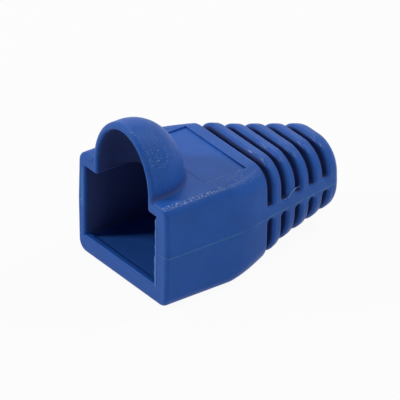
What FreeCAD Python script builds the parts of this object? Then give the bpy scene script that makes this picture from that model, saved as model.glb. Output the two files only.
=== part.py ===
import FreeCAD, Part
import math
import os

# Strain relief boot for a modular plug, in millimetres.
# X runs across the boot, Y from its mouth to its cable end and Z up from its flat underside.

# Body
body_width = 14.9
body_height = 11.05
parting_height = 5.75
side_draft = 1.7
upper_edge_radius = 1.0
lower_edge_radius = 1.25
front_rounding = 0.29

# Cable bore
bore_diameter = 5.5
bore_height = 4.97
lead_in_diameter = 7.6
lead_in_length = 1.4

# Taper from the body to the cable end, which has a wall round the bore
side_bend_at = 9.65
side_bend_radius = 13.2
top_bend_at = 13.3
top_bend_radius = 16.4
underside_bend_at = 8.6
underside_bend_radius = 9.8
end_wall_beside = 1.04
end_wall_above = 1.19
end_flat = 0.14
upper_roundness = 0.82
lower_roundness = 0.94
upper_growth = 0.75
lower_growth = 1.0
parting_drop = 0.9

# Bellows slots in the tail
slot_count = 5
first_slot_at = 12.7
slot_pitch = 2.065
slot_share = 0.402
slot_depth = 1.0
web_above_parting = 1.05
parting_clearance = 0.042
slot_end_rounding = 0.3
slot_top_rounding = 0.458
rib_rounding = 0.29
last_slot_from_end = 2.64

# Plug cavity
mouth_width = 11.8
mouth_offset = 0.3
mouth_floor = 1.7
mouth_ceiling = 9.65
cavity_depth = 10.8
lip_height = 0.3
lip_length = 0.6
cavity_corner_radius = 0.5
mouth_rounding = 0.16

# Dome over the latch
dome_width = 9.8
dome_rise = 6.0
dome_straight = 1.4
dome_wall_share = 0.465
dome_foot_radius = 0.3
window_depth = 4.7
window_step = 0.6
window_corner_radius = 1.0
window_edge_radius = 0.35

# Recessed panel on the top
panel_width = 9.9
panel_start = 6.3
panel_end = 11.2
panel_recess = 0.15

clear = 1.0
tolerance = 1e-3
length = first_slot_at + (slot_count - 1) * slot_pitch + last_slot_from_end
half_width = body_width / 2
slot_width = slot_share * slot_pitch
slot_end_radius = slot_end_rounding * slot_width
slot_top_radius = slot_top_rounding * slot_width
slot_edge_radius = rib_rounding * (slot_pitch - slot_width)
web_below_parting = slot_edge_radius + parting_clearance
mouth_wall = half_width - mouth_width / 2
dome_wall = dome_wall_share * mouth_wall
front_edge_radius = front_rounding * mouth_wall
mouth_edge_radius = mouth_rounding * mouth_wall
end_side = bore_diameter / 2 + end_wall_beside
end_top = bore_height + bore_diameter / 2 + end_wall_above
end_underside = bore_height - bore_diameter / 2 - end_wall_above
end_radius = end_wall_beside - end_flat


def bend(y, corner, total, radius):
    # Shift at y of an edge that runs straight, turns through an arc and shifts by the total at the cable end
    turn = math.atan(total / (length - corner))
    tangent = radius * math.tan(turn / 2)
    along = y - corner + tangent
    if along <= 0:
        return 0.0
    if along >= tangent * (1 + math.cos(turn)):
        return (y - corner) * math.tan(turn)
    return radius - math.sqrt(radius ** 2 - along ** 2)


def bend_reach(corner, total, radius):
    # Length of the arc's tangent, which is how far the bend spreads each side of its corner
    return radius * math.tan(math.atan(total / (length - corner)) / 2)


def bend_start():
    return side_bend_at - bend_reach(side_bend_at, half_width - end_side, side_bend_radius)


def parting_at(y):
    along_tail = max(0.0, y - first_slot_at) / (length - first_slot_at)
    return parting_height - parting_drop * along_tail


def edge_radius(y, front_radius, roundness, growth):
    # Radius that grows from the body's to the tail's, from the bend's start to the tail's straight run
    share = (y - bend_start()) / (straight_from() - bend_start())
    share = min(1.0, max(0.0, share)) ** growth
    return front_radius + share * (roundness * end_side - front_radius)


def rounded_wire(corners, radii):
    # Closed wire through the corners, each rounded by its own radius
    bends = []
    for index, (corner, radius) in enumerate(zip(corners, radii)):
        back = (corners[index - 1] - corner).normalize()
        ahead = (corners[(index + 1) % len(corners)] - corner).normalize()
        half_angle = back.getAngle(ahead) / 2
        reach = radius / math.tan(half_angle) if radius else 0.0
        depth = radius / math.sin(half_angle) - radius if radius else 0.0
        middle = corner + (back + ahead) * (depth / (back + ahead).Length) if radius else corner
        bends.append((corner + back * reach, middle, corner + ahead * reach, radius))
    edges = []
    for index, (start, middle, end, radius) in enumerate(bends):
        if radius:
            edges.append(Part.Arc(start, middle, end).toShape())
        following = bends[(index + 1) % len(bends)][0]
        edges.append(Part.LineSegment(end, following).toShape())
    return Part.Wire(edges)


def section(y, inset=0.0):
    # Cross-section of the outer form at y, or of a form that lies inset within it
    side = half_width - bend(y, side_bend_at, half_width - end_side, side_bend_radius)
    top = body_height - bend(y, top_bend_at, body_height - end_top, top_bend_radius)
    underside = bend(y, underside_bend_at, end_underside, underside_bend_radius)
    parting = parting_at(y)
    slant = math.tan(math.radians(side_draft))
    upper_side = side - slant * (top - parting) - inset
    lower_side = side - slant * (parting - underside) - inset
    upper_radius = edge_radius(y, upper_edge_radius, upper_roundness, upper_growth) - inset
    lower_radius = edge_radius(y, lower_edge_radius, lower_roundness, lower_growth) - inset
    corners = [
        FreeCAD.Vector(side - inset, y, parting),
        FreeCAD.Vector(upper_side, y, top - inset),
        FreeCAD.Vector(-upper_side, y, top - inset),
        FreeCAD.Vector(inset - side, y, parting),
        FreeCAD.Vector(-lower_side, y, underside + inset),
        FreeCAD.Vector(lower_side, y, underside + inset),
    ]
    return rounded_wire(corners, [0, upper_radius, upper_radius, 0, lower_radius, lower_radius])


def spaced(start, end, count):
    return [start + (end - start) * index / count for index in range(count + 1)]


def arch(width, rise, drop, y):
    # Half-ellipse on straight legs, standing on the top of the body, as an upright face
    side = width / 2
    centre = FreeCAD.Vector(0, y, body_height)
    crown = centre + FreeCAD.Vector(0, 0, rise)
    right = centre + FreeCAD.Vector(side, 0, 0)
    left = centre - FreeCAD.Vector(side, 0, 0)
    down = FreeCAD.Vector(0, 0, -drop)
    ellipse = Part.Ellipse(crown, right, centre)
    curve = Part.ArcOfEllipse(ellipse, -math.pi / 2, math.pi / 2).toShape()
    return Part.Face(Part.Wire([
        curve,
        Part.LineSegment(left, left + down).toShape(),
        Part.LineSegment(left + down, right + down).toShape(),
        Part.LineSegment(right + down, right).toShape(),
    ]))


def domed(width, rise, drop, start):
    # Arch run straight back, then turned about an upright axis to close it behind
    run = arch(width, rise, drop, start).extrude(FreeCAD.Vector(0, dome_straight - start, 0))
    face = arch(width, rise, drop, dome_straight)
    right_half = face.common(Part.makeBox(width, 2 * clear, 4 * body_height,
                                          FreeCAD.Vector(0, dome_straight - clear, -body_height)))
    back = right_half.revolve(FreeCAD.Vector(0, dome_straight, 0), FreeCAD.Vector(0, 0, 1), 180)
    return run.fuse(back)


def edges_at(shape, y):
    return [edge for edge in shape.Edges
            if abs(edge.BoundBox.YMin - y) < tolerance and abs(edge.BoundBox.YMax - y) < tolerance]


def foot_edges(form):
    # Edges where the dome stands on the flat top
    side = dome_width / 2 + tolerance
    return [edge for edge in form.Edges
            if abs(edge.BoundBox.ZMin - body_height) < tolerance and edge.BoundBox.XMin > -side
            and abs(edge.BoundBox.ZMax - body_height) < tolerance and edge.BoundBox.XMax < side]


def front_form():
    # Straight part of the body with the dome on it, rounded at the dome's foot and round the front outline
    straight = Part.makeLoft([section(0), section(bend_start())], True, True)
    form = straight.fuse(domed(dome_width, dome_rise, body_height - mouth_ceiling, 0)).removeSplitter()
    form = form.makeFillet(dome_foot_radius, foot_edges(form))
    return form.makeFillet(front_edge_radius, edges_at(form, 0))


def straight_from():
    # Middle of the first rib past the bends, from which every line of the tail runs straight
    bends_end = top_bend_at + bend_reach(top_bend_at, body_height - end_top, top_bend_radius)
    first_rib = first_slot_at + (slot_width + slot_pitch) / 2
    return first_rib + slot_pitch * max(0, math.ceil((bends_end - first_rib) / slot_pitch))


def tail_form():
    # Taper through the bends, straight run to the cable end, and a rim rounded by sections that draw in
    end_at = length - end_radius
    stations = spaced(bend_start(), first_slot_at, 8) + spaced(first_slot_at, straight_from(), 6)[1:]
    bends = Part.makeLoft([section(y) for y in stations], True, False)
    straight = Part.makeLoft([section(straight_from()), section(end_at)], True, True)
    steps = [math.radians(angle) for angle in spaced(0, 90, 4)]
    rim = Part.makeLoft([section(end_at + end_radius * math.sin(step), end_radius * (1 - math.cos(step)))
                         for step in steps], True, False)
    return bends.fuse([straight, rim])


def tail_core():
    # What the slots leave of the tail
    stations = spaced(first_slot_at - clear, length + clear, 6)
    return Part.makeLoft([section(y, slot_depth) for y in stations], True, False)


def slot_cutter(y, end, outside, radius):
    # Slot across the tail, open at one height and closed at the other with rounded corners
    side = -half_width - clear
    corners = [
        FreeCAD.Vector(side, y, outside),
        FreeCAD.Vector(side, y, end),
        FreeCAD.Vector(side, y + slot_width, end),
        FreeCAD.Vector(side, y + slot_width, outside),
    ]
    face = Part.Face(rounded_wire(corners, [0, radius, radius, 0]))
    return face.extrude(FreeCAD.Vector(body_width + 2 * clear, 0, 0))


def on_slot_mouth(edge, core):
    # True for an edge that lies within one slot's width and away from the core
    box = edge.BoundBox
    slot = math.floor((box.YMin - first_slot_at + tolerance) / slot_pitch)
    slot_end = first_slot_at + slot * slot_pitch + slot_width
    if slot not in range(slot_count) or box.YMax > slot_end + tolerance:
        return False
    middle = edge.valueAt((edge.FirstParameter + edge.LastParameter) / 2)
    return Part.Vertex(middle).distToShape(core)[0] > 0.8 * slot_depth


def slotted(form):
    # Outer form with its slots cut down to the core, and the mouth of each slot rounded
    core = tail_core()
    cutters = []
    for index in range(slot_count):
        y = first_slot_at + index * slot_pitch
        parting = parting_at(y + slot_width / 2)
        cutters.append(slot_cutter(y, parting + web_above_parting, body_height + clear, slot_end_radius))
        cutters.append(slot_cutter(y, parting - web_below_parting, -clear, slot_top_radius))
    form = form.cut([cutter.cut(core) for cutter in cutters])
    return form.makeFillet(slot_edge_radius, [edge for edge in form.Edges if on_slot_mouth(edge, core)])


def window():
    # Way up from the cavity into the dome: a shallow square-backed step, then the dome's own hollow
    side = dome_width / 2 - dome_wall
    low = mouth_ceiling - clear
    corners = [
        FreeCAD.Vector(-side, -clear, low),
        FreeCAD.Vector(side, -clear, low),
        FreeCAD.Vector(side, window_depth, low),
        FreeCAD.Vector(-side, window_depth, low),
    ]
    face = Part.Face(rounded_wire(corners, [0, 0, window_corner_radius, window_corner_radius]))
    step = face.extrude(FreeCAD.Vector(0, 0, clear + window_step))
    hollow = domed(2 * side, dome_rise - dome_wall, body_height - low, -clear)
    return hollow.common(face.extrude(FreeCAD.Vector(0, 0, 2 * body_height))).fuse(step)


def cavity():
    # Plug cavity, off the middle to the left, with a low lip across the floor of its mouth
    side = -mouth_width / 2 - mouth_offset
    lip_top = mouth_floor + lip_height
    profile = [
        FreeCAD.Vector(side, -clear, lip_top),
        FreeCAD.Vector(side, lip_length, lip_top),
        FreeCAD.Vector(side, lip_length, mouth_floor),
        FreeCAD.Vector(side, cavity_depth, mouth_floor),
        FreeCAD.Vector(side, cavity_depth, mouth_ceiling),
        FreeCAD.Vector(side, -clear, mouth_ceiling),
    ]
    face = Part.Face(rounded_wire(profile, [0, 0, 0, cavity_corner_radius, cavity_corner_radius, 0]))
    return face.extrude(FreeCAD.Vector(mouth_width, 0, 0))


def bore():
    back = FreeCAD.Vector(0, 1, 0)
    start = FreeCAD.Vector(0, cavity_depth - tolerance, bore_height)
    lead_in = Part.makeCone(lead_in_diameter / 2, bore_diameter / 2, lead_in_length, start, back)
    hole = Part.makeCylinder(bore_diameter / 2, length - cavity_depth + clear, start, back)
    return hole.fuse(lead_in)


def panel():
    corner = FreeCAD.Vector(-panel_width / 2, panel_start, body_height - panel_recess)
    return Part.makeBox(panel_width, panel_end - panel_start, panel_recess + clear, corner)


def opening_edges(shape, outline):
    # Edges of the opening in the front plane, which lie away from the outline of that plane
    found = []
    for edge in edges_at(shape, 0):
        middle = edge.valueAt((edge.FirstParameter + edge.LastParameter) / 2)
        if Part.Vertex(middle).distToShape(outline)[0] > tolerance:
            found.append(edge)
    return found


def window_edges(shape):
    # Lower edges of the window, where its walls rise from the ceiling of the cavity
    side = dome_width / 2 - dome_wall + tolerance
    found = []
    for edge in shape.Edges:
        box = edge.BoundBox
        level = abs(box.ZMin - mouth_ceiling) < tolerance and abs(box.ZMax - mouth_ceiling) < tolerance
        if level and box.XMin > -side and box.XMax < side and box.YMax < window_depth + tolerance:
            found.append(edge)
    return found


def boot():
    front = front_form()
    outline = Part.Compound(edges_at(front, 0))
    shape = slotted(tail_form()).fuse(front)
    shape = shape.cut([cavity(), window(), bore(), panel()])
    shape = shape.makeFillet(window_edge_radius, window_edges(shape))
    shape = shape.makeFillet(mouth_edge_radius, opening_edges(shape, outline))
    shape.translate(FreeCAD.Vector(0, -length / 2, 0))
    return shape


os.makedirs("parts", exist_ok=True)
whole = boot()
print("boot", whole.isValid(), len(whole.Solids), "volume", round(whole.Volume, 2))
whole.exportStep("parts/boot.step")
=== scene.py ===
import math
import bpy
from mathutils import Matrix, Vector
from mathutils.bvhtree import BVHTree


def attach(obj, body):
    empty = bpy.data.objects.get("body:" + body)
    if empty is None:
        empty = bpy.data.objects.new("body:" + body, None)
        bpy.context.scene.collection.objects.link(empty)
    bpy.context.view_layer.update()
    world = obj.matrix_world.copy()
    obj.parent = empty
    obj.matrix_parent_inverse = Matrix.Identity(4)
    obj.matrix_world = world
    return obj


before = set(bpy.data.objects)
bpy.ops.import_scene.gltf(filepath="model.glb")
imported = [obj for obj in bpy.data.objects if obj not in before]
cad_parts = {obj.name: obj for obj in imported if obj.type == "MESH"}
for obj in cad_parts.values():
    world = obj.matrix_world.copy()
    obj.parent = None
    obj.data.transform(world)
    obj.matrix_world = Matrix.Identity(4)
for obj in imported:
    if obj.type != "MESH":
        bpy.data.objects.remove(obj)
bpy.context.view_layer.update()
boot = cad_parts["boot"]
mm = 0.001
print("frame loaded")


class Wire:
    # a socket's output; sums on it add their own Math nodes
    def __init__(self, board, socket):
        self.board = board
        self.socket = socket

    def __add__(self, other):
        return self.board.maths("ADD", self, other)

    def __radd__(self, other):
        return self.board.maths("ADD", other, self)

    def __sub__(self, other):
        return self.board.maths("SUBTRACT", self, other)

    def __rsub__(self, other):
        return self.board.maths("SUBTRACT", other, self)

    def __mul__(self, other):
        return self.board.maths("MULTIPLY", self, other)

    def __rmul__(self, other):
        return self.board.maths("MULTIPLY", other, self)

    def __truediv__(self, other):
        return self.board.maths("DIVIDE", self, other)

    def __rtruediv__(self, other):
        return self.board.maths("DIVIDE", other, self)

    def __pow__(self, other):
        return self.board.maths("POWER", self, other)

    def __rpow__(self, other):
        return self.board.maths("POWER", other, self)

    def __abs__(self):
        return self.board.maths("ABSOLUTE", self)


class Board:
    # node tree of one material or of the world, built from nothing
    def __init__(self, owner):
        owner.use_nodes = True
        self.tree = owner.node_tree
        self.tree.nodes.clear()

    def node(self, kind, settings, values):
        made = self.tree.nodes.new(kind)
        for name, value in settings.items():
            setattr(made, name, value)
        for name, value in values.items():
            if isinstance(value, Wire):
                self.tree.links.new(value.socket, made.inputs[name])
            else:
                made.inputs[name].default_value = value
        return made

    def wire(self, made, output=0):
        return Wire(self, made.outputs[output])

    def maths(self, operation, *values):
        return self.wire(self.node("ShaderNodeMath", {"operation": operation}, dict(enumerate(values))))

    def largest(self, first, *others):
        for other in others:
            first = self.maths("MAXIMUM", first, other)
        return first

    def blendColour(self, share, first, second):
        made = self.node("ShaderNodeMix", {"data_type": "RGBA"}, {0: share, 6: first, 7: second})
        return self.wire(made, 2)

    def step(self, value, zeroAt, oneAt):
        # smooth from 0 to 1; it falls where oneAt is the smaller
        made = self.node("ShaderNodeMapRange", {"interpolation_type": "SMOOTHSTEP"},
                         {"Value": value, "From Min": zeroAt, "From Max": oneAt})
        return self.wire(made)

    def span(self, value, start, full, fade=None, end=None):
        # rises from start to full and, where an end is given, falls again from fade to end
        rising = self.step(value, start, full)
        return rising if end is None else rising * self.step(value, end, fade)

    def noise(self, place, scale, detail, roughness):
        made = self.node("ShaderNodeTexNoise", {"noise_dimensions": "3D"},
                         {"Vector": place, "Scale": scale, "Detail": detail, "Roughness": roughness})
        return self.wire(made)

    def seesBackground(self):
        # 1 for the rays of the camera, of gloss and through glass
        path = self.node("ShaderNodeLightPath", {}, {})
        rays = ("Is Camera Ray", "Is Glossy Ray", "Is Transmission Ray")
        return self.largest(*[self.wire(path, ray) for ray in rays])


bootLook = {
    # lengths and places are in millimetres from the middle of the underside
    "colour": (0.0158, 0.096, 0.412, 1),
    "paleBlue": (0.0198, 0.117, 0.492, 1),
    # the seam's own colour, also used as a painted highlight on the left post
    "seamAndPostHighlightColour": (0.06, 0.26, 0.52, 1),
    # colour of the painted highlights, the specks and the streaks
    "paintedHighlightColour": (0.42, 0.52, 0.78, 1),
    # painted shade for the hollows, the foot of the dome and the step at the panel's front
    "paintedShadeColour": (0.05, 0.07, 0.2, 1),
    "roughness": 0.43,
    "roughnessChange": 0.12,
    "refraction": 1.5,
    "gloss": 0.18,
    # noises: scale, detail and roughness
    "cloud": (0.35, 3, 0.5),
    "mottle": (4.5, 1, 0.5),
    "grain": (5.5, 3, 0.6),
    "ripple": (0.9, 2, 0.5),
    "specks": (5.5, 2, 0.6),
    "streaks": (1, 3, 0.6),
    # the dome's skin is rougher and more mottled, and starts between these heights
    "onDome": (10.9, 11.8),
    "smoothMottle": 0.3,
    "domeMottle": 0.85,
    "smoothGrain": 0.5,
    "domeGrain": 3.2,
    "cloudRange": (0.3, 0.7),
    "mottleRange": (0.36, 0.64),
    "grainHeight": 0.016,
    "rippleHeight": 0.02,
    # shapes of the boot that the marks follow
    "tailStart": 0.9,
    "tailLength": 10.9,
    "tailBend": (-1, 0),
    "tailNarrowing": 3.3,
    "wallInside": 6.4,
    "ribPitch": 2.065,
    "boreHeight": 4.97,
    "domeMiddle": 12.45,
    "domeHeight": 4.6,
    "domeHalf": 4.9,
    "domeBack": -10.4,
    "domeInner": 4.18,
    "domeInnerHeight": 3.88,
    # line where the mould halves meet
    "seamHeight": 5.75,
    "seamDrop": 0.9,
    "seamWidth": 0.11,
    "seamCore": 0.033,
    "seamRise": 0.04,
    "seamShare": 0.45,
    "seamBreaks": (0.25, 0.5),
    "seamEdge": (0, 0.1),
    # each range gives where a mark starts and is full, then where it fades and ends if it does
    # painted highlight: a paler strip on the front of the left post, near its outer edge
    "postHighlightShare": 0.4,
    "postHighlightBox": {"across": (-6.81, -6.69, -6.48, -6.36), "along": (-11.7, -11.78),
                "up": (4.85, 5.35, 9.05, 9.55)},
    # painted highlights: pale specks on the upper edge, the panel, the dome's rim and the dome's right side
    "paintedGlintShare": 0.65,
    "speckRise": 0.02,
    "denseSpecks": (0.5, 0.62),
    "sparseSpecks": (0.56, 0.7),
    "rimRing": (0.935, 0.975, 1.01, 1.05),
    "rimBox": {"across": (-1, 2), "along": (-11.3, -11.5), "up": (12.2, 13)},
    "edgeBox": {"across": (6.32, 6.52, 6.78, 6.98), "along": (-2.5, -6.5), "up": (10.75, 10.9)},
    "panelShare": 0.8,
    "panelBox": {"across": (4.9, 4.96, 5.05, 5.11), "along": (-5.6, -5.4, -0.7, -0.5), "up": (10.8, 10.9)},
    "shoulderShare": 0.4,
    "shoulderBox": {"across": (4.8, 5.8, 6.9, 7.9), "along": (-4.1, -2.3, -0.5, 1.3), "up": (10.2, 10.6)},
    "domeShare": 0.6,
    "domeBox": {"across": (1, 2.6, 3.9, 5.5), "along": (-11.8, -10.8, -9.3, -8.3),
                "up": (12.6, 14.4, 14.9, 16.7)},
    # painted highlights: pale streaks on the ribs' leading edges
    "streakShare": 0.65,
    "streakGloss": 0.12,
    "streakStretch": (1.1, 11, 1.1),
    "streakRange": (0.52, 0.66),
    "streakCrest": (0.4, 0.46, 0.52, 0.58),
    "streakBox": {"across": (0.5, 2.5), "along": (0.9, 1.2)},
    "streakFall": 0.22,
    "streakHeight": (10.5, 11.1),
    # painted shade darkens the hollows, the foot of the dome and the step at the panel's front, and they are
    # duller too, because the lamps alone leave them too bright
    "paintedShadeShare": 0.9,
    "hollowDullness": 0.5,
    "cavityBox": {"across": (-6.5, -6.25, 5.65, 5.9), "up": (1.65, 1.85, 9.7, 9.9)},
    "cavityFront": -11,
    "frontSoftness": (-0.2, 0.2),
    "cavityEnd": (-0.55, -0.95),
    "lipDepth": 0.5,
    "lipTop": (2.1, 2.4),
    "vaultEdge": (1.06, 0.98),
    "vaultBottom": (9.7, 9.9),
    "windowBox": {"across": (-4.4, -4.2, 4.2, 4.4), "along": (-11.48, -11.32, -7.03, -6.87),
                  "up": (9.62, 9.78, 10.67, 10.83)},
    "slotSetback": 0.05,
    "slotPart": (0.45, 0.425),
    "slotWeb": (-0.57, -0.33, 0.88, 1.12),
    "slotBox": {"along": (0.83, 0.89, 10.07, 10.13)},
    "slotFloor": (2.8, 2.95),
    "footShare": 0.75,
    "footRing": (4.68, 4.88, 5.04, 5.24),
    "footBox": {"up": (10.6, 10.8, 11.15, 11.9)},
    "stepShare": 0.7,
    "stepBox": {"across": (0.9, 1.1, 4.8, 5), "along": (-5.65, -5.59, -5.53, -5.47), "up": (10.8, 10.9)},
}


def placeInMm(board):
    # place on the part in millimetres, whole and along each axis
    coordinates = board.node("ShaderNodeTexCoord", {}, {})
    whole = board.wire(board.node("ShaderNodeVectorMath", {"operation": "SCALE"},
                                  {0: board.wire(coordinates, "Object"), "Scale": 1 / mm}))
    parts = board.node("ShaderNodeSeparateXYZ", {}, {0: whole})
    across, along, up = [board.wire(parts, axis) for axis in range(3)]
    return {"whole": whole, "across": across, "along": along, "up": up}


def inBox(board, place, box):
    # 1 well inside the box and 0 outside it
    return math.prod(board.span(place[axis], *limits) for axis, limits in box.items())


def seamHeightAt(board, look, along):
    # the line drops towards the cable end
    tail = board.largest(along - look["tailStart"], 0) / look["tailLength"]
    return look["seamHeight"] - tail * look["seamDrop"]


def seamMark(board, look, place):
    # thin line around the outside where the mould halves meet
    away = abs(place["up"] - seamHeightAt(board, look, place["along"]))
    narrowing = look["tailNarrowing"] * board.step(place["along"], *look["tailBend"])
    outside = abs(place["across"]) - look["wallInside"] + narrowing
    return board.step(away, look["seamWidth"], look["seamCore"]) * board.step(outside, *look["seamEdge"])


def paintedGlintMark(board, look, place):
    # painted highlights: pale specks along the right upper edge, the panel, the rim of the dome and the
    # dome's right side
    rise = (place["up"] - look["domeMiddle"]) / look["domeHeight"]
    ring = (place["across"] / look["domeHalf"]) ** 2 + rise ** 2
    rim = board.span(ring, *look["rimRing"]) * inBox(board, place, look["rimBox"])
    edge = inBox(board, place, look["edgeBox"])
    panel = inBox(board, place, look["panelBox"]) * look["panelShare"]
    shoulder = inBox(board, place, look["shoulderBox"]) * look["shoulderShare"]
    dome = inBox(board, place, look["domeBox"]) * look["domeShare"]
    fleck = board.noise(place["whole"], *look["specks"])
    dense = board.step(fleck, *look["denseSpecks"])
    sparse = board.step(fleck, *look["sparseSpecks"])
    return (edge + rim + panel) * dense + (shoulder + dome) * sparse


def paintedStreakMark(board, look, place):
    # painted highlights: short pale streaks on the leading edges of the ribs, near their upper right corners
    turn = board.maths("FRACT", (place["along"] - look["tailStart"]) / look["ribPitch"])
    crest = board.span(turn, *look["streakCrest"]) * inBox(board, place, look["streakBox"])
    corner = board.step(place["up"] + place["along"] * look["streakFall"], *look["streakHeight"])
    stretched = board.node("ShaderNodeVectorMath", {"operation": "MULTIPLY"},
                           {0: place["whole"], 1: look["streakStretch"]})
    line = board.noise(board.wire(stretched), *look["streaks"])
    return crest * corner * board.step(line, *look["streakRange"])


def cavityMark(board, look, place, fromDome):
    # painted shade on the walls of the plug cavity, of the space in the dome and of the window between them
    front = look["cavityFront"] - look["lipDepth"] * board.step(place["up"], *look["lipTop"])
    behind = board.step(place["along"] - front, *look["frontSoftness"])
    behind = behind * board.step(place["along"], *look["cavityEnd"])
    rise = board.largest(place["up"] - look["domeMiddle"], 0) / look["domeInnerHeight"]
    vault = board.step((fromDome / look["domeInner"]) ** 2 + rise ** 2, *look["vaultEdge"])
    vault = vault * board.step(place["up"], *look["vaultBottom"])
    cavity = board.largest(inBox(board, place, look["cavityBox"]), vault) * behind
    return board.largest(cavity, inBox(board, place, look["windowBox"]))


def slotMark(board, look, place):
    # painted shade on the walls of the slots, but not on the web between the upper and lower ones or the bore
    turn = board.maths("FRACT", (place["along"] - look["tailStart"] + look["slotSetback"]) / look["ribPitch"])
    overSeam = place["up"] - seamHeightAt(board, look, place["along"])
    slots = board.step(turn, *look["slotPart"]) * (1 - board.span(overSeam, *look["slotWeb"]))
    fromBore = (place["across"] ** 2 + (place["up"] - look["boreHeight"]) ** 2) ** 0.5
    return slots * inBox(board, place, look["slotBox"]) * board.step(fromBore, *look["slotFloor"])


def paintedShadeMark(board, look, place):
    # painted shade in all the hollows, at the foot of the dome and at the step at the panel's front
    back = board.largest(place["along"] - look["domeBack"], 0)
    fromDome = (place["across"] ** 2 + back ** 2) ** 0.5
    foot = board.span(fromDome, *look["footRing"]) * inBox(board, place, look["footBox"])
    step = inBox(board, place, look["stepBox"])
    return board.largest(cavityMark(board, look, place, fromDome), slotMark(board, look, place),
                         foot * look["footShare"], step * look["stepShare"])


def softPlastic(name, look):
    # satin coloured plastic with a fine moulded grain and a seam line, painted highlights on its edges and
    # ribs, and painted shade and more roughness in its hollows
    material = bpy.data.materials.new(name)
    board = Board(material)
    place = placeInMm(board)
    cloud = board.noise(place["whole"], *look["cloud"])
    mottle = board.noise(place["whole"], *look["mottle"])
    grain = board.noise(place["whole"], *look["grain"])
    ripple = board.noise(place["whole"], *look["ripple"])
    onDome = board.step(place["up"], *look["onDome"])
    grainShare = look["smoothGrain"] + (look["domeGrain"] - look["smoothGrain"]) * onDome
    mottleShare = look["smoothMottle"] + (look["domeMottle"] - look["smoothMottle"]) * onDome
    seam = seamMark(board, look, place) * board.step(cloud, *look["seamBreaks"])
    paintedGlints = paintedGlintMark(board, look, place)
    highlightStreak = paintedStreakMark(board, look, place)
    paintedShade = paintedShadeMark(board, look, place)
    # painted highlight on the left post
    post = inBox(board, place, look["postHighlightBox"])

    height = grain * look["grainHeight"] * grainShare + ripple * look["rippleHeight"]
    height = height + seam * look["seamRise"] + (paintedGlints + highlightStreak) * look["speckRise"]
    bump = board.node("ShaderNodeBump", {}, {"Strength": 1, "Distance": mm, "Height": height})

    clouding = board.step(cloud, *look["cloudRange"]) * (1 - mottleShare)
    clouding = clouding + board.step(mottle, *look["mottleRange"]) * mottleShare
    # painted highlights from the specks and the streaks
    pale = board.maths("MINIMUM", paintedGlints * look["paintedGlintShare"] + highlightStreak * look["streakShare"], 1)
    shade = board.blendColour(clouding, look["colour"], look["paleBlue"])
    # the seam line, and a painted highlight on the left post in the same colour
    shade = board.blendColour(seam * look["seamShare"] + post * look["postHighlightShare"], shade, look["seamAndPostHighlightColour"])
    shade = board.blendColour(pale, shade, look["paintedHighlightColour"])
    # painted shade in the hollows, at the dome's foot and at the panel's step
    shade = board.blendColour(paintedShade * look["paintedShadeShare"], shade, look["paintedShadeColour"])

    rough = look["roughness"] + (grain - 0.5) * look["roughnessChange"]
    rough = rough - highlightStreak * look["streakGloss"] + paintedShade * look["hollowDullness"]
    surface = board.node("ShaderNodeBsdfPrincipled", {}, {
        "Base Color": shade,
        "Roughness": rough,
        "IOR": look["refraction"],
        "Specular IOR Level": look["gloss"],
        "Normal": board.wire(bump),
    })
    board.node("ShaderNodeOutputMaterial", {}, {"Surface": board.wire(surface)})
    return material


def paintedLightPlastic(name, look):
    # the same plastic in paler colours: a painted glow of light through the thin flash, and a painted
    # highlight on the torn nick
    return softPlastic(name, dict(bootLook, colour=look["colour"], paleBlue=look["paleBlue"]))


boot.data.materials.clear()
boot.data.materials.append(softPlastic("bootPlastic", bootLook))
print("boot dressed")


def addPiece(name, rings, material):
    # closed strip through rings of corners in millimetres
    around = len(rings[0])
    corners = [tuple(Vector(corner) * mm) for ring in rings for corner in ring]
    faces = [tuple(reversed(range(around)))]
    for here in range(0, len(corners) - around, around):
        for part in range(around):
            after = (part + 1) % around
            faces.append((here + part, here + after, here + around + after, here + around + part))
    faces.append(tuple(range(len(corners) - around, len(corners))))
    mesh = bpy.data.meshes.new(name)
    mesh.from_pydata(corners, [], faces)
    piece = bpy.data.objects.new(name, mesh)
    bpy.context.scene.collection.objects.link(piece)
    piece.data.materials.append(material)
    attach(piece, "root")


flashLook = {
    # thin wavy web of plastic that the mould left on the mouth's right inner edge, in millimetres
    # paler blue, a painted glow of the light that shines through the thin web
    "colour": (0.035, 0.16, 0.5, 1),
    "paleBlue": (0.05, 0.2, 0.56, 1),
    "edge": 5.6,
    "root": 0.12,
    "front": -11.81,
    "thickness": 0.14,
    "bevel": 0.04,
    "low": 1.5,
    "high": 9.6,
    "stepAt": 5.3,
    "stepSoftness": 0.08,
    "widthAbove": 0.17,
    "widthBelow": 0.28,
    "waves": [(0.04, 4.3, 0), (0.024, 11.1, 1)],  # size, radians per millimetre and start
    "sections": 48,
    "endSections": 3,
}


def flashWidthAt(look, up):
    aboveStep = 1 / (1 + math.exp((look["stepAt"] - up) / look["stepSoftness"]))
    width = look["widthBelow"] + (look["widthAbove"] - look["widthBelow"]) * aboveStep
    return width + sum(size * math.sin(up * pace + start) for size, pace, start in look["waves"])


def makeFlash(look):
    outer = look["edge"] + look["root"]
    front, back = look["front"], look["front"] + look["thickness"]
    rings = []
    for index in range(look["sections"] + 1):
        up = look["low"] + (look["high"] - look["low"]) * index / look["sections"]
        fade = min(1, index / look["endSections"], (look["sections"] - index) / look["endSections"])
        inner = look["edge"] - flashWidthAt(look, up) * fade
        rings.append([(inner, front + look["bevel"], up), (outer, front, up),
                      (outer, back, up), (inner, back - look["bevel"], up)])
    addPiece("mouthFlash", rings, paintedLightPlastic("flashPlastic", look))


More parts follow.
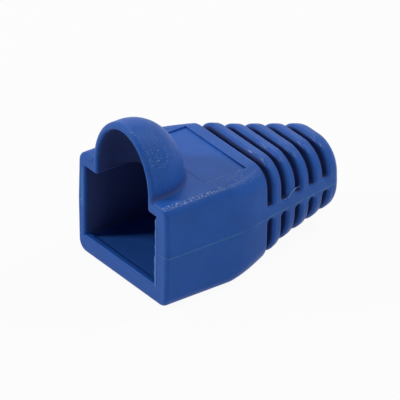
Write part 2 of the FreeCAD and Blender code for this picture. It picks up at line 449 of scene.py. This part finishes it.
nickLook = {
    # torn edge of plastic at the foot of the second rib, laid on the right side, in millimetres
    # pale blue, a painted highlight along the torn edge
    "colour": (0.06, 0.18, 0.5, 1),
    "paleBlue": (0.16, 0.3, 0.62, 1),
    "path": [(3.25, 6.62), (3.6, 6.5), (3.95, 6.6), (4.25, 6.95), (4.7, 7.1), (5.15, 7.18), (5.5, 7.2)],
    "between": 5,
    "radius": 0.1,
    "endShare": 0.25,
    "around": 8,
    "lift": 0.02,
    "greatestDip": 0.25,
    "castFrom": 10,
}


def nickPath(look):
    # points along the path, laid on the boot's right side
    skin = BVHTree.FromPolygons([boot.matrix_world @ vertex.co for vertex in boot.data.vertices],
                                [face.vertices for face in boot.data.polygons])
    flat = []
    for first, second in zip(look["path"], look["path"][1:]):
        for index in range(look["between"]):
            flat.append(Vector(first).lerp(Vector(second), index / look["between"]))
    flat.append(Vector(look["path"][-1]))
    points = []
    for along, up in flat:
        hit = skin.ray_cast(Vector((look["castFrom"], along, up)) * mm, Vector((-1, 0, 0)))[0]
        points.append(hit / mm + Vector((look["lift"], 0, 0)))
    lowest = max(point.x for point in points) - look["greatestDip"]
    return [Vector((max(point.x, lowest), point.y, point.z)) for point in points]


def makeNick(look):
    points = nickPath(look)
    outward = Vector((1, 0, 0))
    turns = [-2 * math.pi * part / look["around"] for part in range(look["around"])]
    rings = []
    for index, point in enumerate(points):
        ahead = points[min(index + 1, len(points) - 1)] - points[max(index - 1, 0)]
        sideways = ahead.cross(outward).normalized()
        bulge = math.sin(math.pi * (index + 0.5) / len(points)) ** 0.5
        radius = look["radius"] * (look["endShare"] + (1 - look["endShare"]) * bulge)
        rings.append([point + (sideways * math.cos(turn) + outward * math.sin(turn)) * radius
                      for turn in turns])
    addPiece("ribNick", rings, paintedLightPlastic("nickPlastic", look))


makeFlash(flashLook)
makeNick(nickLook)
print("flash and nick made")

floorLook = {"halfSize": 1.5, "colour": (0.8, 0.8, 0.8, 1), "ownLight": 0.94}  # half size in metres


def makeFloor(look):
    # the eye and gloss see it almost white, with a faint shadow of the boot
    half = look["halfSize"]
    mesh = bpy.data.meshes.new("floor")
    corners = [(-half, -half, 0), (half, -half, 0), (half, half, 0), (-half, half, 0)]
    mesh.from_pydata(corners, [], [(0, 1, 2, 3)])
    floor = bpy.data.objects.new("floor", mesh)
    bpy.context.scene.collection.objects.link(floor)
    paint = bpy.data.materials.new("floorPaint")
    board = Board(paint)
    matt = board.node("ShaderNodeBsdfDiffuse", {}, {"Color": look["colour"]})
    white = board.node("ShaderNodeEmission", {}, {"Color": (1, 1, 1, 1), "Strength": 1})
    share = board.seesBackground() * look["ownLight"]
    mixed = board.node("ShaderNodeMixShader", {}, {0: share, 1: board.wire(matt), 2: board.wire(white)})
    board.node("ShaderNodeOutputMaterial", {}, {"Surface": board.wire(mixed)})
    floor.data.materials.append(paint)


makeFloor(floorLook)
print("floor laid")

lightLook = {
    "aim": (0, 0, 7),
    "skyLight": 0.02,
    "lamps": [
        # azimuth from -Y towards +X and elevation in degrees, distance and size in millimetres, watts
        ("key", -34, 28, 320, 60, 0.5),
        ("left", -90, 55, 320, 170, 0.17),
        ("rear", 172, 52, 320, 60, 0.36),
        ("side", 90, 28, 320, 170, 0.24),
        ("back", -127, 32, 320, 170, 0.05),
    ],
}


def directionTo(azimuth, elevation):
    turn, rise = math.radians(azimuth), math.radians(elevation)
    return Vector((math.sin(turn) * math.cos(rise), -math.cos(turn) * math.cos(rise), math.sin(rise)))


def addLamps(look):
    for name, azimuth, elevation, distance, size, watts in look["lamps"]:
        lamp = bpy.data.lights.new(name, "AREA")
        lamp.shape = "SQUARE"
        lamp.size = size * mm
        lamp.energy = watts
        holder = bpy.data.objects.new(name, lamp)
        towards = directionTo(azimuth, elevation)
        holder.location = (Vector(look["aim"]) + towards * distance) * mm
        holder.rotation_euler = towards.to_track_quat("Z", "Y").to_euler()
        bpy.context.scene.collection.objects.link(holder)


def lightWorld(skyLight):
    # sky that shows white and lights the object only a little
    world = bpy.data.worlds.new("studio")
    bpy.context.scene.world = world
    board = Board(world)
    seen = board.seesBackground()
    glow = board.node("ShaderNodeBackground", {},
                      {"Color": (1, 1, 1, 1), "Strength": seen + (1 - seen) * skyLight})
    board.node("ShaderNodeOutputWorld", {}, {"Surface": board.wire(glow)})


addLamps(lightLook)
lightWorld(lightLook["skyLight"])
print("studio lit")

cameraLook = {
    # angles in degrees, places and lengths in millimetres
    "azimuth": 53.464,
    "elevation": 30.411,
    "roll": 0.523,
    "distance": 733.6,
    "aim": (0, -0.272, 7.336),
    "aimRight": -1.761,
    "aimUp": -2.062,
    "focal": 679.4,
    "sensor": 36,
    "nearest": 10,
    "farthest": 20000,
}


def placeCamera(look):
    # the aim moves right and up in the picture while the camera stays where it stands
    back = directionTo(look["azimuth"], look["elevation"])
    right = Vector((0, 0, 1)).cross(back).normalized()
    up = back.cross(right)
    roll = math.radians(look["roll"])
    rolledRight = right * math.cos(roll) + up * math.sin(roll)
    rolledUp = up * math.cos(roll) - right * math.sin(roll)
    stand = Vector(look["aim"]) + back * look["distance"]
    aim = Vector(look["aim"]) + rolledRight * look["aimRight"] + rolledUp * look["aimUp"]
    away = (stand - aim).normalized()
    sideways = rolledUp.cross(away).normalized()
    data = bpy.data.cameras.new("camera")
    data.lens = look["focal"]
    data.sensor_width = look["sensor"]
    data.clip_start = look["nearest"] * mm
    data.clip_end = look["farthest"] * mm
    camera = bpy.data.objects.new("camera", data)
    bpy.context.scene.collection.objects.link(camera)
    turn = camera.matrix_world.to_3x3()
    turn.col[0], turn.col[1], turn.col[2] = sideways, away.cross(sideways), away
    camera.matrix_world = turn.to_4x4()
    camera.location = stand * mm
    bpy.context.scene.camera = camera


placeCamera(cameraLook)
bpy.context.scene.view_settings.view_transform = "Standard"
print("camera placed")
